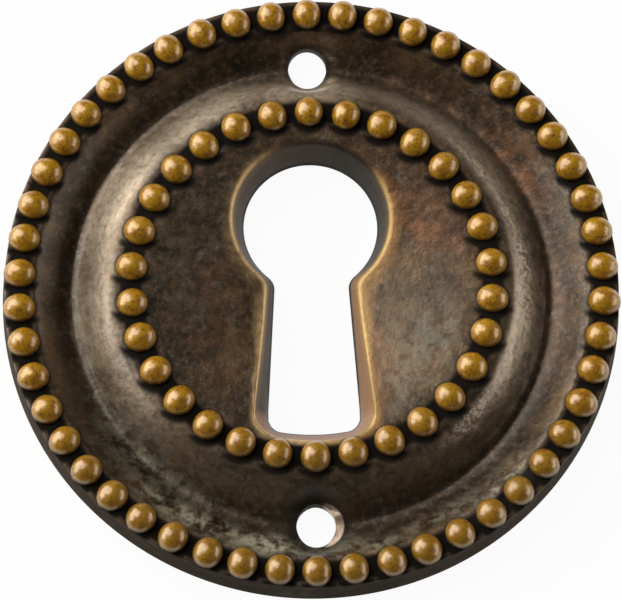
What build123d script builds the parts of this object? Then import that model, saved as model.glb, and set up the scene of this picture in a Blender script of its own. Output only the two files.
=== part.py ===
from build123d import *
from math import cos, pi, radians, sin, tan
import os

# Keyhole escutcheon: one round plate stamped from a brass sheet.
# It lies on its back, with its origin at the centre of the trimmed back rim.
# +Z points out of its face and +Y points to the round eye of its keyhole.
# Sizes are in millimetres and angles in degrees.

# Sheet and rim
plate_diameter = 38.0
sheet_thickness = 0.5
rim_height = 2.25
rim_land = 0.2

# Bead rings, each bead a hollow dome with a dimple behind it
bead_radius = 0.91
bead_land = 0.05
outer_bead_count = 50
inner_bead_count = 30
inner_ring_height = 3.2
first_bead_angle = 90.0
bead_sides = 8
bead_steps = 2
dimple_radius = 0.55
dimple_sides = 6
dimple_steps = 1

# Cove between the rings
cove_floor_height = 0.95
cove_floor_width = 1.0
cove_chamfer = 0.4
shoulder_land = 0.55
shoulder_chamfer = 0.45

# Dished middle
dish_angle = 7.0

# Pin holes, in the middle of the cove
pin_hole_diameter = 2.4

# Keyhole and its turned-in lip
eye_radius = 4.12
eye_centre = 4.15
keyhole_height = 17.35
neck_width = 4.5
neck_corner = 0.8
crest_corner = 0.25
foot_width = 5.7
foot_bulge = 0.35
foot_corner = 0.8
foot_clearance = 0.1
lip_bottom = 1.25
lip_angle = 26.0

# A chamfer takes at most this share of the flat beside it
chamfer_share = 0.45
# A tool solid reaches this far past the face that it cuts or joins
overlap = 0.1

# Worked out from the sizes above
lip_slope = tan(radians(lip_angle))
lip_top = inner_ring_height + overlap
lip_flare = (lip_top - lip_bottom) * lip_slope
lip_wall = sheet_thickness / cos(radians(lip_angle))
foot_bottom = eye_centre + eye_radius - keyhole_height
foot_reach = (inner_ring_height - lip_bottom) * lip_slope - foot_bottom
inner_ring_radius = foot_reach + foot_clearance + bead_radius
dish_radius = inner_ring_radius - bead_radius - bead_land
dish_centre_height = inner_ring_height - dish_radius * tan(radians(dish_angle))
shoulder_radius = inner_ring_radius + bead_radius + bead_land + shoulder_land
rim_radius = plate_diameter / 2
outer_ring_radius = rim_radius - rim_land - bead_radius
rim_inner_radius = outer_ring_radius - bead_radius - bead_land
cove_radius = (shoulder_radius + rim_inner_radius) / 2

# Corners of the face in section
shoulder = (shoulder_radius, inner_ring_height)
cove_in = (cove_radius - cove_floor_width / 2, cove_floor_height)
cove_out = (cove_radius + cove_floor_width / 2, cove_floor_height)


def face_line():
    """The face of the plate in section, from its middle to below the plane where its rim is trimmed."""
    middle = (0, dish_centre_height)
    dish_edge = (dish_radius, inner_ring_height)
    rim_in = (rim_inner_radius, rim_height)
    rim_out = (rim_radius, rim_height)
    below_rim = (rim_radius, -rim_height)
    with BuildLine(Plane.XZ) as line:
        Polyline(middle, dish_edge, shoulder, cove_in, cove_out, rim_in, rim_out, below_rim)
    return line.wire()


def drawn_sheet():
    """The sheet drawn to its section all round, with the bends of its face eased and its rim trimmed flat."""
    wall = offset(face_line(), amount=sheet_thickness, side=Side.RIGHT, kind=Kind.INTERSECTION, closed=True)
    section = make_face(wall.edges())
    shoulder_width = min(shoulder_chamfer, chamfer_share * (shoulder_radius - dish_radius))
    cove_width = min(cove_chamfer, chamfer_share * cove_floor_width)
    for corner, width in [(shoulder, shoulder_width), (cove_in, cove_width), (cove_out, cove_width)]:
        bend = section.vertices().sort_by_distance(Plane.XZ.from_local_coords(corner))[0]
        section = chamfer(bend, width)
    sheet = revolve(section, axis=Axis.Z)
    return split(sheet, bisect_by=Plane.XY, keep=Keep.TOP)


def below_face():
    """Everything under the face of the plate, to trim the lip where it meets that face."""
    face = face_line()
    closing = Polyline(face @ 1, (0, 0, -rim_height), face @ 0)
    return revolve(make_face(face.edges() + closing.edges()), axis=Axis.Z)


def keyhole(height, grow, corner):
    """The keyhole's outline at a height: a round eye over a slot that widens to its foot."""
    neck = eye_centre - eye_radius
    foot_side = foot_bottom + foot_bulge
    widening = (foot_width - neck_width) / 2 / (neck - foot_side)
    eye_half = neck_width / 2 - widening * eye_radius + grow
    foot_half = foot_width / 2 + grow
    left_foot = (-foot_half, foot_side - grow)
    right_foot = (foot_half, foot_side - grow)
    with BuildSketch(Plane.XY.offset(height)) as outline:
        with Locations((0, eye_centre)):
            Circle(eye_radius + grow)
        with BuildLine():
            Polyline(left_foot, (-eye_half, eye_centre), (eye_half, eye_centre), right_foot)
            ThreePointArc(right_foot, (0, foot_bottom - grow), left_foot)
        make_face()
        foot_corners = outline.vertices().sort_by(Axis.Y)[:2]
        fillet(foot_corners, foot_corner + grow)
        # The neck's two corners lie next above the four ends of the rounded foot corners
        neck_corners = outline.vertices().sort_by(Axis.Y)[4:6]
        fillet(neck_corners, corner)
    return outline.sketch


def funnel(grow):
    """The space inside the lip, from its bottom up to the face, or with grow, out to the lip's back."""
    low = keyhole(lip_bottom, grow, neck_corner)
    high = keyhole(lip_top, grow + lip_flare, crest_corner)
    return loft([low, high], ruled=True)


def dome(radius, height, sides, steps):
    """A faceted dome on the XY plane, with a straight root below it that enters or leaves the sheet."""
    def ring(step):
        lift = pi / 2 * step / steps
        reach = radius * cos(lift)
        # Half a side's turn puts a flat, not a corner, towards the middle of the plate
        turns = [2 * pi * (side + 1 / 2) / sides for side in range(sides)]
        return [Vector(reach * cos(turn), reach * sin(turn), height * sin(lift)) for turn in turns]

    top = Vector(0, 0, height)
    root = [point - Vector(0, 0, overlap) for point in ring(0)]
    rings = [root] + [ring(step) for step in range(steps)]
    faces = [Face(Wire.make_polygon(root))]
    for side in range(sides):
        after = (side + 1) % sides
        for low, high in zip(rings, rings[1:]):
            faces.append(Face(Wire.make_polygon([low[side], low[after], high[after], high[side]])))
        faces.append(Face(Wire.make_polygon([rings[-1][side], rings[-1][after], top])))
    return Solid(Shell(faces))


def bead_ring(tool, ring_radius, count, height):
    """Copies of a dome round the plate at a height."""
    places = PolarLocations(ring_radius, count, start_angle=first_bead_angle)
    return [Pos(0, 0, height) * place * tool for place in places]


def escutcheon_plate():
    """The finished plate: the drawn sheet with its keyhole, lip, pin holes and beads."""
    mouth = funnel(0) + extrude(keyhole(lip_bottom, 0, neck_corner), -lip_bottom)
    lip = (funnel(lip_wall) - mouth) & below_face()
    plate = drawn_sheet() - mouth + lip
    pin_hole = Cylinder(pin_hole_diameter / 2, 2 * inner_ring_height)
    plate -= [place * pin_hole for place in GridLocations(0, 2 * cove_radius, 1, 2)]
    bead = dome(bead_radius, bead_radius, bead_sides, bead_steps)
    dimple = dome(dimple_radius, bead_radius, dimple_sides, dimple_steps)
    rings = [
        (outer_ring_radius, outer_bead_count, rim_height),
        (inner_ring_radius, inner_bead_count, inner_ring_height),
    ]
    for ring_radius, count, height in rings:
        plate += bead_ring(bead, ring_radius, count, height)
        plate -= bead_ring(dimple, ring_radius, count, height - sheet_thickness)
    return plate


os.makedirs("parts", exist_ok=True)
export_step(escutcheon_plate(), "parts/escutcheon_plate.step")
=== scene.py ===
import math
import random

import bpy
import numpy as np
from mathutils import Matrix, Vector


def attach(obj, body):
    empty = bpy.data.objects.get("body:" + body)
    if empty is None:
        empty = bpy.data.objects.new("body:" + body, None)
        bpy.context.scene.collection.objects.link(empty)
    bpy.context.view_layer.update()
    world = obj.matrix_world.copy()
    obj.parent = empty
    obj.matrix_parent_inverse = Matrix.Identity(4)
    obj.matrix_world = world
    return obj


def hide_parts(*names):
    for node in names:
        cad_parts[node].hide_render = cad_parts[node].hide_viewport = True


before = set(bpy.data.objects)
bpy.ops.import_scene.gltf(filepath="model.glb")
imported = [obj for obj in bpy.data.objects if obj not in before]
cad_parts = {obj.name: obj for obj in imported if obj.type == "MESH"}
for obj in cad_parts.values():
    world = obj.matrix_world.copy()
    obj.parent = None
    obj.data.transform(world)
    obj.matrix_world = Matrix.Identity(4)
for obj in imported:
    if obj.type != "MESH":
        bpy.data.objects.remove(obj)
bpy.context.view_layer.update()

# Sizes in millimetres: the plate of the part's source, a hair inside its box, with finer forms
mm = 0.001
plate_radius = 18.998
rim_top_radius = 18.8
sheet_thickness = 0.5
rim_height = 2.25
rim_inner_radius = 16.93
cove_out_radius = 15.24
cove_in_radius = 14.24
cove_height = 0.95
shoulder_radius = 12.55
plateau_height = 3.2
dish_radius = 10.08
dish_slope = math.tan(math.radians(7.0))
back_edge_radius = 10.45

# Bends of the section: how far each one reaches before and after its corner
face_bends = [(0.12, 0.12), (0.1, 0.7), (1.3, 0.49), (0.49, 0.9), (1.5, 0.6)]
back_bends = [(0.35, 1.3), (0.9, 0.5), (0.45, 1.3), (0.6, 0.1), (0.12, 0.12)]

# Bead rings, and the dimples behind the beads
bead_radius = 0.95
bead_height = 0.91
dimple_radius = 0.55
dimple_depth = 0.4
dome_root = 0.2
outer_ring = {"radius": 17.89, "height": rim_height, "count": 50, "turn": 90.0}
inner_ring = {"radius": 11.04, "height": plateau_height, "count": 30, "turn": 90.0}

# How much one bead differs from the next: shifts along and out of its ring, then shares of its size
bead_slide = 0.04
bead_drift = 0.02
outward_stretch = (1.01, 1.07)
ring_stretch = (0.95, 1.0)
height_stretch = (0.93, 0.985)

# Pin holes, and the flat seats in the cove that they are pierced in
pin_hole_radius = 1.19
pin_hole_stretch = 1.13
pin_hole_reach = 14.74
punch_length = 4
seat_radius = 1.3
seat_end = 2.4
seat_share = 0.9

# Keyhole and its turned-in lip
eye_radius = 4.12
eye_centre = 4.15
slot_top_half = 2.02
slot_foot_half = 2.85
foot_side = -8.73
foot_bulge = 0.35
foot_corner = 0.8
neck_blend = 0.5
lip_bottom = 1.25
lip_angle = math.radians(26.0)
lip_slope = math.tan(lip_angle)
lip_wall = sheet_thickness / math.cos(lip_angle)
crest_roll = 0.3
crest_roll_limit = 0.7

# The sheet's columns meet the keyhole along rays from this point, which end well outside it
ray_start = Vector((0.0, 1.0))
ray_length = 12.0

# Mesh fineness
columns = 300
band_width = 0.45
bend_steps = 7
dish_rows = 7
roll_rows = 6
lip_rows = 3
back_rows = 4
ray_halvings = 40
punch_sides = 64
bead_fineness = (24, 12)
dimple_fineness = (16, 8)
sharp_bend = math.radians(40)

# Corners no farther apart than the first count as one, and those below the second lie on the ground
weld_gap = 0.001
ground_gap = 0.01

dice = random.Random(7)


# Small helpers for the work in object and edit mode
def deselect_everything():
    """Leaves edit mode and clears the selection."""
    if bpy.context.object and bpy.context.object.mode != "OBJECT":
        bpy.ops.object.mode_set(mode="OBJECT")
    bpy.ops.object.select_all(action="DESELECT")


def make_active(piece):
    """Selects one piece alone and makes it the active one."""
    deselect_everything()
    piece.select_set(True)
    bpy.context.view_layer.objects.active = piece


def select_edges(piece, wanted):
    """In edit mode, selects only the edges whose two ends pass the test."""
    bpy.ops.object.mode_set(mode="OBJECT")
    mesh = piece.data
    for part in (mesh.polygons, mesh.edges, mesh.vertices):
        part.foreach_set("select", [False] * len(part))
    for edge in mesh.edges:
        ends = [mesh.vertices[corner] for corner in edge.vertices]
        edge.select = all(wanted(end) for end in ends)
    bpy.ops.object.mode_set(mode="EDIT")


def join_pieces(pieces, name):
    """Joins pieces into the first of them."""
    deselect_everything()
    for piece in pieces:
        piece.select_set(True)
    bpy.context.view_layer.objects.active = pieces[0]
    bpy.ops.object.join()
    pieces[0].name = name
    return pieces[0]


def combine(piece, tool, operation):
    """Unites a tool shape with a piece or cuts it away, and removes the tool."""
    modifier = piece.modifiers.new("combine", "BOOLEAN")
    modifier.operation = operation
    modifier.solver = "EXACT"
    modifier.object = tool
    make_active(piece)
    bpy.ops.object.modifier_apply(modifier=modifier.name)
    bpy.data.objects.remove(tool)


# The keyhole's outline
def dish_height(radius):
    """The height of the dished face at a radius, and of the plateau outside it."""
    return plateau_height - max(dish_radius - radius, 0) * dish_slope


def slot_distance(point):
    """Distance from the edge of the tapered slot, negative inside it."""
    side = Vector((slot_foot_half - slot_top_half, foot_side - eye_centre)).normalized()
    across = Vector((abs(point.x), point.y)) - Vector((slot_top_half, eye_centre))
    to_side = across.y * side.x - across.x * side.y
    bulge = foot_bulge * (1 - min(abs(point.x) / slot_foot_half, 1) ** 2)
    to_foot = foot_side - bulge - point.y
    to_top = point.y - eye_centre
    corner_side = to_side + foot_corner
    corner_foot = to_foot + foot_corner
    rounded = math.hypot(max(corner_side, 0), max(corner_foot, 0)) - foot_corner
    rounded += min(max(corner_side, corner_foot), 0)
    return max(rounded, to_top)


def keyhole_distance(point):
    """Distance from the keyhole's edge, negative inside, with the neck's two corners blended."""
    to_eye = (point - Vector((0, eye_centre))).length - eye_radius
    to_slot = slot_distance(point)
    mix = max(neck_blend - abs(to_eye - to_slot), 0) / neck_blend
    return min(to_eye, to_slot) - mix * mix * neck_blend / 4


def reach_along(direction, level):
    """The point on a ray where the distance from the keyhole's edge equals the level there."""
    near, far = 0.0, ray_length
    for _ in range(ray_halvings):
        middle = (near + far) / 2
        point = ray_start + direction * middle
        if keyhole_distance(point) < level(point):
            near = middle
        else:
            far = middle
    return ray_start + direction * far


def crest_level(point):
    """How far the lip's face has flared where it meets the dish."""
    return (dish_height(point.length) - lip_bottom) * lip_slope


def back_level(point):
    """How far the lip's back has flared where it meets the back of the dish."""
    return (dish_height(point.length) - sheet_thickness - lip_bottom) * lip_slope + lip_wall


def keyhole_lines():
    """For each column, its points on the crest, on the lip's two lower edges and behind the crest."""
    lines = []
    for column in range(columns):
        turn = 2 * math.pi * column / columns
        direction = Vector((math.cos(turn), math.sin(turn)))
        crest = reach_along(direction, crest_level)
        lip_in = reach_along(direction, lambda point: 0.0)
        lip_out = reach_along(direction, lambda point: lip_wall)
        behind = reach_along(direction, back_level)
        lines.append([
            Vector((crest.x, crest.y, dish_height(crest.length))),
            Vector((lip_in.x, lip_in.y, lip_bottom)),
            Vector((lip_out.x, lip_out.y, lip_bottom)),
            Vector((behind.x, behind.y, dish_height(behind.length) - sheet_thickness)),
        ])
    return lines


keyhole_edge = keyhole_lines()


# The drawn sheet
def circle_row(radius, height):
    """One point for each column, round the plate at a radius and a height."""
    turns = [2 * math.pi * column / columns for column in range(columns)]
    return [Vector((radius * math.cos(turn), radius * math.sin(turn), height)) for turn in turns]


def front_rows_of_dish():
    """The rows from the dish's edge over the crest and down the lip."""
    edge = circle_row(dish_radius, plateau_height)
    rows = [[] for _ in range(dish_rows + roll_rows + lip_rows)]
    for start, (crest, lip_in, lip_out, behind) in zip(edge, keyhole_edge):
        above = crest.lerp(start, min(crest_roll / (start - crest).length, crest_roll_limit))
        below = crest.lerp(lip_in, crest_roll / (lip_in - crest).length)
        for row in range(dish_rows):
            spot = start.lerp(above, (row + 1) / dish_rows)
            spot.z = dish_height(math.hypot(spot.x, spot.y))
            rows[row].append(spot)
        for row in range(roll_rows):
            share = (row + 1) / roll_rows
            spot = above.lerp(crest, share).lerp(crest.lerp(below, share), share)
            rows[dish_rows + row].append(spot)
        for row in range(lip_rows):
            rows[dish_rows + roll_rows + row].append(below.lerp(lip_in, (row + 1) / lip_rows))
    return rows


def back_rows_of_dish():
    """The rows from the lip's lower edge up its back and out under the dish."""
    edge = circle_row(back_edge_radius, plateau_height - sheet_thickness)
    rows = [[] for _ in range(2 + back_rows)]
    for end, (crest, lip_in, lip_out, behind) in zip(edge, keyhole_edge):
        rows[0].append(lip_out)
        rows[1].append(behind)
        for row in range(back_rows):
            spot = behind.lerp(end, (row + 1) / back_rows)
            spot.z = dish_height(math.hypot(spot.x, spot.y)) - sheet_thickness
            rows[2 + row].append(spot)
    return rows


def back_corner(before, corner, after):
    """The corner of the sheet's back behind a corner of its face."""
    way_in = (Vector(corner) - Vector(before)).normalized()
    way_out = (Vector(after) - Vector(corner)).normalized()
    out = Vector((way_in.y, -way_in.x)) + Vector((way_out.y, -way_out.x))
    return Vector(corner) + out * sheet_thickness * 2 / out.length_squared


def rounded_line(corners, bends):
    """A section line whose inner corners are curves, each with its reach before and after the corner."""
    line = [Vector(corners[0])]
    for before, corner, after, (near, far) in zip(corners, corners[1:], corners[2:], bends):
        bend = Vector(corner)
        start = bend + (Vector(before) - bend).normalized() * near
        end = bend + (Vector(after) - bend).normalized() * far
        for step in range(bend_steps + 1):
            share = step / bend_steps
            line.append(start.lerp(bend, share).lerp(bend.lerp(end, share), share))
    line.append(Vector(corners[-1]))
    return line


def ring_rows(line):
    """Round rows along a section line, from after its first point, at most a band width apart."""
    rows = []
    for before, after in zip(line, line[1:]):
        steps = math.ceil((after - before).length / band_width)
        rows += [circle_row(*before.lerp(after, (step + 1) / steps)) for step in range(steps)]
    return rows


def draw_sheet():
    """The closed sheet: its face from the rim to the keyhole, and its back out to the rim again."""
    face = [
        (plate_radius, 0.0),
        (rim_top_radius, rim_height),
        (rim_inner_radius, rim_height),
        (cove_out_radius, cove_height),
        (cove_in_radius, cove_height),
        (shoulder_radius, plateau_height),
        (dish_radius, plateau_height),
    ]
    back = [back_corner(*corners) for corners in zip(face[2:], face[1:-1], face)]
    back_edge = (back_edge_radius, plateau_height - sheet_thickness)
    back_foot = (plate_radius - sheet_thickness, 0.0)
    back_line = [back_edge] + [tuple(corner) for corner in reversed(back)] + [back_foot]
    rows = ring_rows(rounded_line(face, face_bends))
    rows += front_rows_of_dish() + back_rows_of_dish()
    rows += ring_rows(rounded_line(back_line, back_bends))
    deselect_everything()
    bpy.ops.mesh.primitive_circle_add(vertices=columns, radius=plate_radius * mm, fill_type="NOTHING")
    sheet = bpy.context.object
    sheet.name = "escutcheon_plate_brass"
    bpy.ops.object.mode_set(mode="EDIT")
    bpy.ops.mesh.select_mode(type="EDGE")
    bpy.ops.mesh.select_all(action="SELECT")
    for _ in rows:
        bpy.ops.mesh.extrude_edges_move()
    bpy.ops.object.mode_set(mode="OBJECT")
    corners = sheet.data.vertices
    for row, points in enumerate([circle_row(*face[0])] + rows):
        for column, point in enumerate(points):
            corners[row * columns + column].co = point * mm
    select_edges(sheet, lambda corner: corner.co.z < ground_gap * mm)
    bpy.ops.mesh.bridge_edge_loops()
    bpy.ops.mesh.select_all(action="SELECT")
    bpy.ops.mesh.normals_make_consistent(inside=False)
    bpy.ops.object.mode_set(mode="OBJECT")
    return sheet


def section_height(radius):
    """The height of the cove's floor, or of the straight slope either side of it, at a radius."""
    if radius < cove_in_radius:
        rise = (plateau_height - cove_height) * (cove_in_radius - radius)
        return cove_height + rise / (cove_in_radius - shoulder_radius)
    if radius > cove_out_radius:
        rise = (rim_height - cove_height) * (radius - cove_out_radius)
        return cove_height + rise / (rim_inner_radius - cove_out_radius)
    return cove_height


def seat_pins(sheet):
    """Flattens the cove round each pin hole, on the face and the back alike."""
    for corner in sheet.data.vertices:
        place = corner.co / mm
        near = math.hypot(place.x, abs(place.y) - pin_hole_reach)
        if near < seat_end:
            share = min((seat_end - near) / (seat_end - seat_radius), 1)
            share = share * share * (3 - 2 * share)
            lift = section_height(math.hypot(place.x, place.y)) - cove_height
            corner.co.z -= seat_share * share * lift * mm


def pierce(sheet):
    """Cuts the two pin holes, a little longer than they are wide."""
    punches = []
    for side in (1, -1):
        deselect_everything()
        bpy.ops.mesh.primitive_cylinder_add(
            vertices=punch_sides,
            radius=pin_hole_radius * mm,
            depth=punch_length * mm,
            location=(0, side * pin_hole_reach * mm, cove_height * mm),
        )
        bpy.ops.transform.resize(value=(1, pin_hole_stretch, 1))
        bpy.ops.object.transform_apply(location=True, rotation=True, scale=True)
        punches.append(bpy.context.object)
    combine(sheet, join_pieces(punches, "pin_holes"), "DIFFERENCE")


# The bead rings
def model_dome(radius, height, fineness):
    """A dome with a straight root below it, closed at its bottom."""
    segments, rings = fineness
    deselect_everything()
    bpy.ops.mesh.primitive_uv_sphere_add(segments=segments, ring_count=rings, radius=radius * mm)
    dome = bpy.context.object
    bpy.ops.object.mode_set(mode="EDIT")
    bpy.ops.mesh.select_all(action="SELECT")
    bpy.ops.mesh.bisect(plane_co=(0, 0, 0), plane_no=(0, 0, 1), clear_inner=True)
    bpy.ops.mesh.select_all(action="SELECT")
    bpy.ops.transform.resize(value=(1, 1, height / radius), center_override=(0, 0, 0))
    bpy.ops.mesh.select_mode(type="EDGE")
    select_edges(dome, lambda corner: corner.co.z < ground_gap * mm)
    bpy.ops.mesh.extrude_edges_move(TRANSFORM_OT_translate={"value": (0, 0, -dome_root * mm)})
    bpy.ops.mesh.edge_face_add()
    bpy.ops.mesh.select_all(action="SELECT")
    bpy.ops.mesh.normals_make_consistent(inside=False)
    bpy.ops.object.mode_set(mode="OBJECT")
    return dome


def ring_places(ring):
    """The middle of each bead of a ring, and the way that it lies from the plate's middle."""
    for step in range(ring["count"]):
        turn = math.radians(ring["turn"] + 360 * step / ring["count"])
        across = ring["radius"] * math.cos(turn)
        along = ring["radius"] * math.sin(turn)
        yield Vector((across, along, ring["height"])), turn


def bead_spots():
    """Where each bead goes, with a small shift and stretch of its own."""
    for ring in (outer_ring, inner_ring):
        for place, turn in ring_places(ring):
            slide = dice.uniform(-bead_slide, bead_slide)
            drift = dice.uniform(-bead_drift, bead_drift)
            width = dice.uniform(*outward_stretch)
            length = dice.uniform(*ring_stretch)
            top = dice.uniform(*height_stretch)
            out = Vector((math.cos(turn), math.sin(turn), 0))
            along = Vector((-math.sin(turn), math.cos(turn), 0))
            move = Matrix.Translation((place + out * drift + along * slide) * mm)
            yield move @ Matrix.Rotation(turn, 4, "Z") @ Matrix.Diagonal((width, length, top, 1))


def dimple_spots():
    """Where each dimple goes, on the back of the sheet under its bead."""
    for ring in (outer_ring, inner_ring):
        for place, turn in ring_places(ring):
            yield Matrix.Translation((place - Vector((0, 0, sheet_thickness))) * mm)


def place_copies(pattern, spots, name):
    """Copies a pattern to each spot, each copy with its own mesh, and joins them."""
    copies = []
    for spot in spots:
        copy = bpy.data.objects.new(name, pattern.data.copy())
        copy.data.transform(spot)
        bpy.context.scene.collection.objects.link(copy)
        copies.append(copy)
    bpy.data.objects.remove(pattern)
    return join_pieces(copies, name)


def weld_corners(piece):
    """Merges the corners that the cuts leave in one place, and splits the many-sided faces there."""
    make_active(piece)
    bpy.ops.object.mode_set(mode="EDIT")
    bpy.ops.mesh.select_mode(type="FACE")
    bpy.ops.mesh.select_all(action="SELECT")
    bpy.ops.mesh.remove_doubles(threshold=weld_gap * mm)
    bpy.ops.mesh.select_face_by_sides(number=4, type="GREATER", extend=False)
    bpy.ops.mesh.quads_convert_to_tris(ngon_method="BEAUTY")
    bpy.ops.mesh.select_all(action="SELECT")
    bpy.ops.mesh.dissolve_degenerate(threshold=weld_gap * mm)
    bpy.ops.object.mode_set(mode="OBJECT")


plate = draw_sheet()
seat_pins(plate)
pierce(plate)
bead = model_dome(bead_radius, bead_height, bead_fineness)
combine(plate, place_copies(bead, bead_spots(), "beads"), "UNION")
dimple = model_dome(dimple_radius, dimple_depth, dimple_fineness)
combine(plate, place_copies(dimple, dimple_spots(), "dimples"), "DIFFERENCE")
weld_corners(plate)
bpy.ops.object.shade_smooth_by_angle(angle=sharp_bend)


# Stains, wear and painted highlights that lie in known places: angle, radius, reach along, reach across,
# amount
red_stains = [
    (2, 14.9, 6.0, 1.4, 0.28),
    (32, 15.2, 3.0, 1.2, 0.8),
    (90, 13.3, 3.5, 0.8, 0.6),
    (30, 8.0, 2.2, 1.4, 0.7),
    (4, 9.7, 4.5, 0.5, 0.7),
    (-32, 9.5, 2.5, 0.6, 0.6),
    (-54, 6.6, 2.6, 2.2, 0.6),
    (215, 7.0, 2.5, 2.0, 0.35),
    (175, 5.4, 1.8, 1.4, 0.5),
    (150, 13.9, 4.0, 0.7, 0.35),
    (60, 15.2, 4.0, 1.2, 0.3),
]
pale_crusts = [
    (242, 16.2, 4.5, 0.75, 0.85),
    (298, 16.2, 3.5, 0.5, 0.4),
    (264, 16.3, 4.5, 0.85, 1.0),
    (283, 16.6, 2.0, 0.5, 0.6),
    (312, 17.2, 2.6, 1.1, 0.9),
    (266, 18.9, 1.2, 0.8, 0.5),
    (172, 11.9, 1.6, 0.6, 0.4),
    (190, 14.0, 4.0, 0.8, 0.25),
    (226, 15.0, 6.0, 1.3, 0.3),
    (-38, 7.8, 4.5, 2.4, 0.3),
    (165, 8.0, 6.0, 2.5, 0.1),
]
worn_places = [
    (36, 12.75, 2.0, 0.25, 0.6),
    (20, 12.9, 1.8, 0.3, 0.8),
    (6, 13.05, 2.0, 0.45, 1.0),
    (-8, 13.05, 2.4, 0.45, 1.0),
    (-24, 12.95, 2.4, 0.4, 0.9),
    (-40, 12.8, 2.0, 0.4, 0.6),
]
# metal rubbed pale, partly a painted highlight on the shoulder's slopes
rubbed_places = [
    (150, 13.4, 5.5, 0.92, 1.0),
    (118, 13.25, 4.5, 1.05, 0.9),
    (186, 13.2, 4.0, 0.85, 0.42),
    (90, 13.0, 4.0, 1.0, 0.9),
    (214, 13.05, 4.0, 0.9, 0.38),
    (40, 13.3, 9.0, 0.95, 0.8),
    (-10, 13.25, 6.0, 0.9, 0.65),
    (270, 13.1, 16.0, 0.9, 0.16),
]

# Wear and painted highlight along the keyhole's crest, in millimetres
crest_width = 0.21
crest_lowest = 1.9
halo_width = 0.55
lip_blend = 0.1
beside_dish = 0.3
far_from_crest = 9.0


def stain_amount(points, stains):
    """How strong a set of stains is at each point."""
    radius = np.hypot(points[:, 0], points[:, 1])
    angle = np.degrees(np.arctan2(points[:, 1], points[:, 0]))
    total = np.zeros(len(points))
    for centre, ring, along, across, amount in stains:
        turn = np.radians((angle - centre + 180) % 360 - 180)
        reach = (turn * ring / along) ** 2 + ((radius - ring) / across) ** 2
        total = np.maximum(total, amount * np.exp(-reach ** 1.5))
    return total


def store_channels(mesh, name, channels):
    """Stores four numbers on each corner of a mesh, as a colour."""
    colours = np.stack(channels, axis=1)
    attribute = mesh.attributes.new(name, "FLOAT_COLOR", "POINT")
    attribute.data.foreach_set("color", colours.ravel())


def paint_wear_and_highlights(piece):
    """Stores on each corner of the mesh the stains there, the rubbed places that carry a painted highlight,
    and how near the keyhole's crest it is.
    """
    mesh = piece.data
    flat = np.empty(len(mesh.vertices) * 3)
    mesh.vertices.foreach_get("co", flat)
    points = flat.reshape(-1, 3) / mm
    radius = np.hypot(points[:, 0], points[:, 1])
    inside = radius < dish_radius + beside_dish
    crest_line = np.array([line[0][:] for line in keyhole_edge])
    spans = points[inside][:, None, :] - crest_line[None, :, :]
    crest_gap = np.full(len(points), far_from_crest)
    crest_gap[inside] = np.sqrt((spans ** 2).sum(axis=2)).min(axis=1)
    under_face = plateau_height - np.maximum(dish_radius - radius, 0) * dish_slope - points[:, 2]
    crest = np.exp(-((crest_gap / crest_width) ** 2)) * (points[:, 2] > crest_lowest)
    lip = inside * np.clip(under_face / lip_blend, 0, 1)
    halo = np.exp(-((crest_gap / halo_width) ** 2)) * (1 - lip)
    stains = [stain_amount(points, places) for places in (red_stains, pale_crusts, worn_places)]
    store_channels(mesh, "stains", stains + [np.ones(len(points))])
    store_channels(mesh, "edge_wear_and_highlights", [crest, lip, stain_amount(points, rubbed_places), halo])


# Node helpers: a socket or a number goes in, and a socket comes out
class Paint:
    """Adds nodes to one material."""

    def __init__(self, name):
        self.material = bpy.data.materials.new(name)
        self.material.use_nodes = True
        self.tree = self.material.node_tree
        self.shader = self.tree.nodes["Principled BSDF"]

    def node(self, kind):
        return self.tree.nodes.new(kind)

    def feed(self, socket, source):
        """Links a socket to another one, or sets its value."""
        if isinstance(source, bpy.types.NodeSocket):
            self.tree.links.new(source, socket)
        else:
            socket.default_value = source

    def maths(self, operation, *sources):
        node = self.node("ShaderNodeMath")
        node.operation = operation
        for socket, source in zip(node.inputs, sources):
            self.feed(socket, source)
        return node.outputs[0]

    def gather(self, operation, sources):
        """One number from many, taken in one after the other."""
        total = sources[0]
        for source in sources[1:]:
            total = self.maths(operation, total, source)
        return total

    def product(self, *sources):
        return self.gather("MULTIPLY", sources)

    def total(self, *sources):
        return self.gather("ADD", sources)

    def largest(self, *sources):
        return self.gather("MAXIMUM", sources)

    def length(self, first, second):
        """The length of a line from its two parts at a right angle."""
        squares = self.total(self.product(first, first), self.product(second, second))
        return self.maths("SQRT", squares)

    def fade(self, source, start, end, low=0.0, high=1.0):
        """Goes smoothly from low to high as the source goes from start to end."""
        node = self.node("ShaderNodeMapRange")
        node.interpolation_type = "SMOOTHSTEP"
        for socket, value in zip(node.inputs, (source, start, end, low, high)):
            self.feed(socket, value)
        return node.outputs[0]

    def noise(self, place, scale, detail=4.0, roughness=0.55, distortion=0.0):
        """Cloudy noise, with its scale per millimetre."""
        node = self.node("ShaderNodeTexNoise")
        self.feed(node.inputs["Vector"], place)
        node.inputs["Scale"].default_value = scale
        node.inputs["Detail"].default_value = detail
        node.inputs["Roughness"].default_value = roughness
        node.inputs["Distortion"].default_value = distortion
        return node.outputs["Fac"]

    def mix(self, share, first, second):
        """A colour that goes from the first to the second."""
        node = self.node("ShaderNodeMix")
        node.data_type = "RGBA"
        self.feed(node.inputs[0], share)
        self.feed(node.inputs[6], first)
        self.feed(node.inputs[7], second)
        return node.outputs[2]

    def blend(self, share, first, second):
        """A number that goes from the first to the second."""
        node = self.node("ShaderNodeMix")
        self.feed(node.inputs[0], share)
        self.feed(node.inputs[2], first)
        self.feed(node.inputs[3], second)
        return node.outputs[0]

    def attribute(self, name):
        """The four channels of a colour stored on the mesh."""
        node = self.node("ShaderNodeAttribute")
        node.attribute_name = name
        parts = self.node("ShaderNodeSeparateColor")
        self.feed(parts.inputs[0], node.outputs["Color"])
        return list(parts.outputs[:3]) + [node.outputs["Alpha"]]
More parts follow.
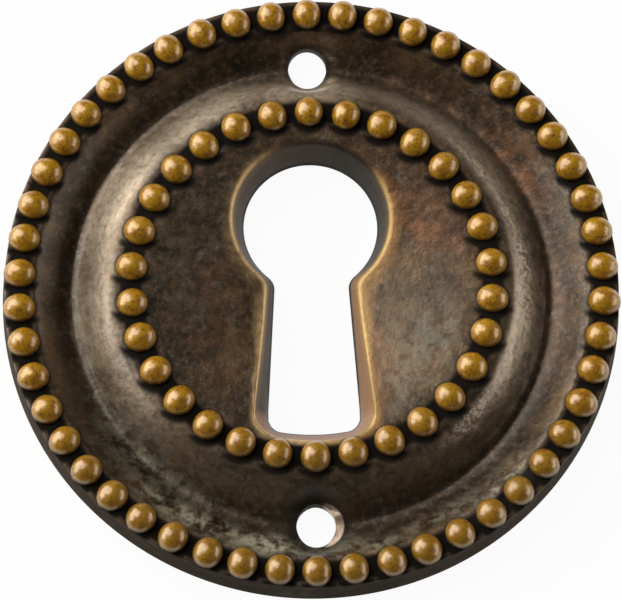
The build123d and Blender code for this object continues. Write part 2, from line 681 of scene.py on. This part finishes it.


# Colours of the patina, with painted shade on the dish and a painted highlight on the rubbed metal
patina_dark = (0.030, 0.020, 0.011, 1)
patina_light = (0.108, 0.068, 0.033, 1)
mottle_tan = (0.155, 0.097, 0.046, 1)
cove_black = (0.017, 0.012, 0.008, 1)
dish_shade_black = (0.020, 0.014, 0.009, 1)
dish_russet_shade = (0.058, 0.026, 0.012, 1)
bloom_grey = (0.115, 0.12, 0.115, 1)
stain_red = (0.21, 0.095, 0.042, 1)
grain_tan = (0.16, 0.085, 0.045, 1)
speck_black = (0.015, 0.011, 0.008, 1)
crust_pale = (0.31, 0.295, 0.215, 1)
worn_pale = (0.70, 0.57, 0.49, 1)
rubbed_metal = (0.60, 0.50, 0.385, 1)

# Colours of the lip and its crest, with painted light and shade on the lip and a painted highlight on the
# crest
lip_left = (0.085, 0.058, 0.038, 1)
lip_right_shade = (0.034, 0.028, 0.019, 1)
lip_lit_brown = (0.26, 0.14, 0.065, 1)
lip_foot = (0.33, 0.195, 0.13, 1)
lip_shadow_black = (0.012, 0.009, 0.007, 1)
halo_glow_orange = (0.23, 0.105, 0.030, 1)
crest_highlight_pale = (0.80, 0.55, 0.27, 1)
crest_gold = (0.40, 0.27, 0.09, 1)

# Colours of the beads and the dirt, with painted shade on the lower beads, the skirt and between the beads
amber_light = (0.44, 0.232, 0.005, 1)
amber_dark = (0.29, 0.116, 0.004, 1)
amber_speck = (0.07, 0.030, 0.010, 1)
amber_shade = (0.20, 0.105, 0.012, 1)
skirt_shade_brown = (0.042, 0.030, 0.019, 1)
hole_ring_black = (0.014, 0.010, 0.007, 1)
bevel_bare = (0.48, 0.37, 0.28, 1)
grime_and_shade_black = (0.008, 0.006, 0.005, 1)

# Where one finish gives way to the next: two radii in millimetres
between_rings = (13.0, 14.0)
into_cove = (13.7, 14.5)
out_of_cove = (16.4, 15.6)
into_dish = (10.6, 9.8)
over_skirt = (18.55, 18.8)

# Relief in millimetres
pit_depth = 0.012
dent_depth = 0.12
scratch_depth = 0.008


class AgedBrass(Paint):
    """The finish of the plate, in layers from its patina to the grime and painted shade between its beads.
    """

    def __init__(self):
        super().__init__("aged_brass")
        self.find_place()
        self.find_beads()
        self.red, self.crust, self.worn, _ = self.attribute("stains")
        self.crest, self.lip, self.rubbed, self.halo = self.attribute("edge_wear_and_highlights")
        self.mottle = self.noise(self.place, 1.7, 5.0, 0.6, 0.3)
        self.grain = self.noise(self.place, 3.0, 4.0, 0.55)
        self.specks = self.noise(self.place, 7.0, 3.0, 0.6)
        colour = self.add_stains(self.patina())
        colour = self.add_lip(colour)
        colour = self.mix(self.bead, colour, self.amber())
        colour = self.add_dirt(colour)
        self.feed(self.shader.inputs["Base Color"], colour)
        self.set_gloss()
        self.set_relief()

    def find_place(self):
        """The place on the plate in millimetres, also as a radius and an angle."""
        coordinates = self.node("ShaderNodeTexCoord")
        scale = self.node("ShaderNodeVectorMath")
        scale.operation = "SCALE"
        scale.inputs["Scale"].default_value = 1 / mm
        self.feed(scale.inputs[0], coordinates.outputs["Object"])
        self.place = scale.outputs[0]
        axes = self.node("ShaderNodeSeparateXYZ")
        self.feed(axes.inputs[0], self.place)
        self.across, self.along, self.height = axes.outputs
        self.radius = self.length(self.across, self.along)
        self.angle = self.total(self.maths("ARCTAN2", self.along, self.across), 2 * math.pi)

    def nearest_bead(self, ring):
        """From the middle of a ring's nearest bead: the distance, the way up the plate and the way out."""
        pitch = 2 * math.pi / ring["count"]
        cell = self.maths("FRACT", self.maths("DIVIDE", self.angle, pitch))
        round_way = self.product(self.maths("SUBTRACT", cell, 0.5), pitch * ring["radius"])
        out_way = self.maths("SUBTRACT", self.radius, ring["radius"])
        rise = self.total(self.product(round_way, self.across), self.product(out_way, self.along))
        up = self.maths("DIVIDE", rise, self.radius)
        return self.length(round_way, out_way), up, self.maths("ABSOLUTE", out_way)

    def find_beads(self):
        """Where the beads are, and the grime and painted shade between them and round their feet, with a
        painted shadow below them.
        """
        outside = self.fade(self.radius, *between_rings)
        rings = zip(self.nearest_bead(inner_ring), self.nearest_bead(outer_ring))
        gap, up, side = [self.blend(outside, inner, outer) for inner, outer in rings]
        ring_height = self.blend(outside, inner_ring["height"], outer_ring["height"])
        self.climb = self.maths("SUBTRACT", self.height, ring_height)
        self.bead = self.fade(self.climb, 0.03, 0.14)
        foot = self.fade(gap, 1.2, 0.98, 0.0, 0.5)
        # painted shadow: the plate below each bead, towards the bottom of the plate, is darkened
        below = self.product(self.fade(gap, 1.6, 1.15), self.fade(up, -0.3, -0.8))
        between = self.fade(side, 0.9, 0.5)
        packed_and_shaded = self.largest(between, foot, below)
        low_on_ring = self.product(self.fade(self.climb, 0.45, 0.1), self.fade(self.climb, -0.3, -0.1))
        self.grime_and_shade = self.product(packed_and_shaded, low_on_ring)

    def patina(self):
        """Brown patina in clouds, darker in the cove, with painted shade on the left of the dish and a
        russet painted shade on its upper right, and a grey bloom.
        """
        clouds = self.noise(self.place, 0.33, 6.0, 0.62, 0.6)
        colour = self.mix(self.fade(clouds, 0.34, 0.66), patina_dark, patina_light)
        colour = self.mix(self.fade(self.mottle, 0.5, 0.75, 0.0, 0.6), colour, mottle_tan)
        cove = self.fade(self.radius, *into_cove)
        cove = self.product(cove, self.fade(self.radius, *out_of_cove, 0.0, 0.6))
        colour = self.mix(cove, colour, cove_black)
        dish = self.fade(self.radius, *into_dish)
        # painted shade: the dish darkened on its left, and russet and darker on its upper right
        left_shade = self.product(dish, self.fade(self.across, -1.0, -6.0, 0.0, 0.45))
        colour = self.mix(left_shade, colour, dish_shade_black)
        right = self.product(dish, self.fade(self.across, 0.5, 4.0, 0.0, 0.65))
        upper_right_shade = self.product(right, self.fade(self.along, 0.5, 4.0))
        colour = self.mix(upper_right_shade, colour, dish_russet_shade)
        bloom = self.fade(self.noise(self.place, 0.9, 5.0, 0.65), 0.5, 0.72)
        bloom = self.product(bloom, self.fade(self.grain, 0.4, 0.6), 0.8)
        return self.mix(bloom, colour, bloom_grey)

    def add_stains(self, colour):
        """Red stains, grain and specks, then pale crust, worn speckles and metal rubbed pale, partly a
        painted highlight.
        """
        red = self.product(self.red, self.fade(self.noise(self.place, 0.8, 4.0), 0.3, 0.65))
        colour = self.mix(red, colour, stain_red)
        colour = self.mix(self.fade(self.grain, 0.5, 0.66, 0.0, 0.45), colour, grain_tan)
        colour = self.mix(self.fade(self.specks, 0.55, 0.68, 0.0, 0.65), colour, speck_black)
        crust = self.product(self.crust, self.fade(self.noise(self.place, 1.1, 5.0, 0.65), 0.38, 0.6))
        colour = self.mix(crust, colour, crust_pale)
        worn = self.product(self.worn, self.fade(self.noise(self.place, 3.4, 4.0, 0.75), 0.47, 0.57))
        colour = self.mix(worn, colour, worn_pale)
        self.dull = self.largest(crust, worn)
        # pale rubbed metal that also carries a painted highlight
        grainy = self.product(self.rubbed, self.fade(self.grain, 0.3, 0.55, 0.6, 1.0))
        rubbed = self.product(grainy, self.fade(self.mottle, 0.25, 0.5, 0.7, 1.0))
        return self.mix(rubbed, colour, rubbed_metal)

    def add_lip(self, colour):
        """The lip in lit and shaded tones by side, with a painted shadow along its lower edge, a painted
        orange glow beside its crest on the lit right, and the crest with a painted highlight.
        """
        # painted light and shade: the lip's tone changes by side, dark on the upper right and lit brown low
        # on the right
        right = self.fade(self.across, -1.0, 2.5)
        lip = self.mix(right, lip_left, lip_right_shade)
        lip = self.mix(self.product(self.fade(self.along, 1.6, 0.2), right), lip, lip_lit_brown)
        lip = self.mix(self.fade(self.along, -7.6, -8.6), lip, lip_foot)
        colour = self.mix(self.product(self.lip, 0.9), colour, lip)
        # painted shadow along the lip's lower edge
        lower_edge_shadow = self.product(self.lip, self.fade(self.height, 1.6, 1.35))
        colour = self.mix(lower_edge_shadow, colour, lip_shadow_black)
        in_light = self.fade(self.along, self.blend(right, 9.2, 7.8), self.blend(right, 7.6, 6.2))
        bright = self.product(in_light, self.fade(self.mottle, 0.25, 0.55, 0.6, 1.0))
        # painted orange glow beside the crest on the lit right side
        colour = self.mix(self.product(self.halo, right, bright), colour, halo_glow_orange)
        # the crest's worn gold with a painted highlight, paler on the left, left out at the top of the eye
        # where it lies in shade
        gold = self.mix(right, crest_highlight_pale, crest_gold)
        return self.mix(self.product(self.crest, bright), colour, gold)

    def amber(self):
        """Amber brass of the beads, tarnished in places, with painted shade that darkens them towards the
        bottom of the plate.
        """
        tarnish = self.noise(self.place, 2.4, 5.0, 0.65)
        colour = self.mix(self.fade(tarnish, 0.42, 0.66), amber_light, amber_dark)
        colour = self.mix(self.fade(self.specks, 0.55, 0.66, 0.0, 0.75), colour, amber_speck)
        # painted shade: the beads darker towards the bottom of the plate
        return self.mix(self.fade(self.along, -4.0, -14.0, 0.0, 0.5), colour, amber_shade)

    def add_dirt(self, colour):
        """The skirt darkened with painted shade, a dark ring round the pin holes, the bare bevel of the
        lower one, and the grime with painted shade.
        """
        # painted shade: the skirt is darkened as though in the plate's own shadow
        shaded_skirt = self.product(self.fade(self.radius, *over_skirt), self.fade(self.climb, 0.0, -0.2))
        colour = self.mix(self.product(shaded_skirt, 0.8), colour, skirt_shade_brown)
        # darker round the pin holes, wider round the lower one
        from_hole = self.maths("SUBTRACT", self.maths("ABSOLUTE", self.along), pin_hole_reach)
        lower = self.fade(self.along, 0.0, -1.0)
        dark_hole_ring = self.fade(self.length(self.across, from_hole), self.blend(lower, 1.7, 2.8), 1.4)
        dark_hole_ring = self.product(dark_hole_ring, self.blend(lower, 0.6, 0.85))
        colour = self.mix(dark_hole_ring, colour, hole_ring_black)
        bevel_middle = self.maths("SUBTRACT", self.across, 0.3)
        bevel_gap = self.length(bevel_middle, self.total(self.along, pin_hole_reach))
        bevel = self.product(self.fade(bevel_gap, 1.45, 1.32), self.fade(self.across, 0.3, 0.9))
        colour = self.mix(bevel, colour, bevel_bare)
        beside_bevel = self.product(dark_hole_ring, self.maths("SUBTRACT", 1.0, bevel))
        self.darkened = self.largest(beside_bevel, shaded_skirt, self.grime_and_shade)
        # grime and painted shade: near-black between the beads, round their feet and below them
        return self.mix(self.product(self.grime_and_shade, 0.95), colour, grime_and_shade_black)

    def set_gloss(self):
        """Satin metal under a thin lacquer, glossier on the beads and matt where it is darkened."""
        metallic = self.blend(self.bead, 0.7, 0.15)
        self.feed(self.shader.inputs["Metallic"], self.blend(self.dull, metallic, 0.1))
        satin = self.blend(self.bead, self.fade(self.mottle, 0.3, 0.7, 0.36, 0.52), 0.3)
        matt = self.largest(self.darkened, self.product(self.dull, 0.4), self.product(self.lip, 0.5))
        self.feed(self.shader.inputs["Roughness"], self.blend(matt, satin, 0.95))
        lacquer = self.blend(self.bead, 0.25, 0.85)
        self.feed(self.shader.inputs["Coat Weight"], self.blend(self.darkened, lacquer, 0.0))
        self.shader.inputs["Coat Roughness"].default_value = 0.25
        self.shader.inputs["Coat IOR"].default_value = 1.6

    def set_relief(self):
        """Fine pits, dents and scratches."""
        dents = self.noise(self.place, 0.7, 3.0, 0.5)
        stretch = self.node("ShaderNodeMapping")
        self.feed(stretch.inputs["Vector"], self.place)
        stretch.inputs["Rotation"].default_value = (0, 0, 0.9)
        stretch.inputs["Scale"].default_value = (0.5, 9.0, 1.0)
        scratches = self.noise(stretch.outputs[0], 1.0, 3.0, 0.7)
        depths = [(self.specks, pit_depth), (dents, dent_depth), (scratches, scratch_depth)]
        relief = self.total(*[self.product(form, depth) for form, depth in depths])
        bump = self.node("ShaderNodeBump")
        bump.inputs["Strength"].default_value = 1.0
        bump.inputs["Distance"].default_value = mm
        self.feed(bump.inputs["Height"], relief)
        self.feed(self.shader.inputs["Normal"], bump.outputs[0])


paint_wear_and_highlights(plate)
plate.data.materials.clear()
plate.data.materials.append(AgedBrass().material)
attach(plate, "root")
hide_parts("escutcheon_plate")

# Pale floor, its size in metres and its gap below the rim in millimetres
floor_size = 1.2
floor_gap = 0.03
white_share = 0.95


def pale_floor():
    """A sheet of paper that glows for the camera and in reflections, and is plain for diffuse light."""
    deselect_everything()
    bpy.ops.mesh.primitive_plane_add(size=floor_size, location=(0, 0, -floor_gap * mm))
    floor = bpy.context.object
    floor.name = "floor"
    paper = Paint("white_paper")
    paper.shader.inputs["Base Color"].default_value = (0.9, 0.9, 0.9, 1)
    paper.shader.inputs["Roughness"].default_value = 0.9
    glow = paper.node("ShaderNodeEmission")
    glow.inputs["Strength"].default_value = 1.0
    rays = paper.node("ShaderNodeLightPath").outputs
    seen = paper.largest(rays["Is Camera Ray"], rays["Is Glossy Ray"], rays["Is Transmission Ray"])
    blend = paper.node("ShaderNodeMixShader")
    paper.feed(blend.inputs[0], paper.product(seen, white_share))
    paper.feed(blend.inputs[1], paper.shader.outputs[0])
    paper.feed(blend.inputs[2], glow.outputs[0])
    paper.feed(paper.tree.nodes["Material Output"].inputs["Surface"], blend.outputs[0])
    floor.data.materials.append(paper.material)


pale_floor()

# Lights, with sizes in metres
warm_white = (1.0, 0.95, 0.87)
lamp_distance = 0.6


def softbox(name, azimuth, elevation, width, height, power):
    """A soft lamp at a direction from the plate, turned towards it."""
    lamp = bpy.data.lights.new(name, "AREA")
    lamp.shape = "RECTANGLE"
    lamp.size = width
    lamp.size_y = height
    lamp.energy = power
    lamp.color = warm_white
    holder = bpy.data.objects.new(name, lamp)
    bpy.context.scene.collection.objects.link(holder)
    turn = math.radians(azimuth)
    lift = math.radians(elevation)
    way = Vector((math.cos(turn) * math.cos(lift), math.sin(turn) * math.cos(lift), math.sin(lift)))
    holder.location = way * lamp_distance
    holder.rotation_euler = way.to_track_quat("Z", "Y").to_euler()


softbox("window", azimuth=154, elevation=21, width=0.8, height=0.4, power=5.2)
softbox("ceiling", azimuth=138, elevation=54, width=0.4, height=0.34, power=2.0)
softbox("bounce", azimuth=2, elevation=18, width=0.6, height=0.28, power=1.6)

world = bpy.data.worlds.new("studio")
bpy.context.scene.world = world
world.use_nodes = True
world.node_tree.nodes["Background"].inputs["Color"].default_value = (1, 1, 1, 1)
world.node_tree.nodes["Background"].inputs["Strength"].default_value = 0.04


# Camera
def place_camera():
    """Sets the camera at the angle and distance from which the plate is seen, lengths in millimetres."""
    azimuth = math.radians(-4.695)
    elevation = math.radians(72.235)
    roll = math.radians(3.794)
    distance = 250.46
    aim_height = 2.77
    slide_right = -0.072
    slide_up = -0.930
    focal_pixels = 4103.75
    image_width = 622
    level = math.cos(elevation)
    back = Vector((math.sin(azimuth) * level, -math.cos(azimuth) * level, math.sin(elevation)))
    right = Vector((math.cos(azimuth), math.sin(azimuth), 0))
    up = back.cross(right)
    right_rolled = right * math.cos(roll) + up * math.sin(roll)
    up_rolled = up * math.cos(roll) - right * math.sin(roll)
    eye = Vector((0, 0, aim_height)) + back * distance + right_rolled * slide_right + up_rolled * slide_up
    lens = bpy.data.cameras.new("camera")
    lens.sensor_width = 36
    lens.lens = focal_pixels / image_width * lens.sensor_width
    lens.clip_start = 0.01
    camera = bpy.data.objects.new("camera", lens)
    bpy.context.scene.collection.objects.link(camera)
    turned = Matrix((right_rolled, up_rolled, back)).transposed().to_4x4()
    camera.matrix_world = Matrix.Translation(eye * mm) @ turned
    bpy.context.scene.camera = camera


place_camera()
bpy.context.scene.view_settings.view_transform = "Standard"
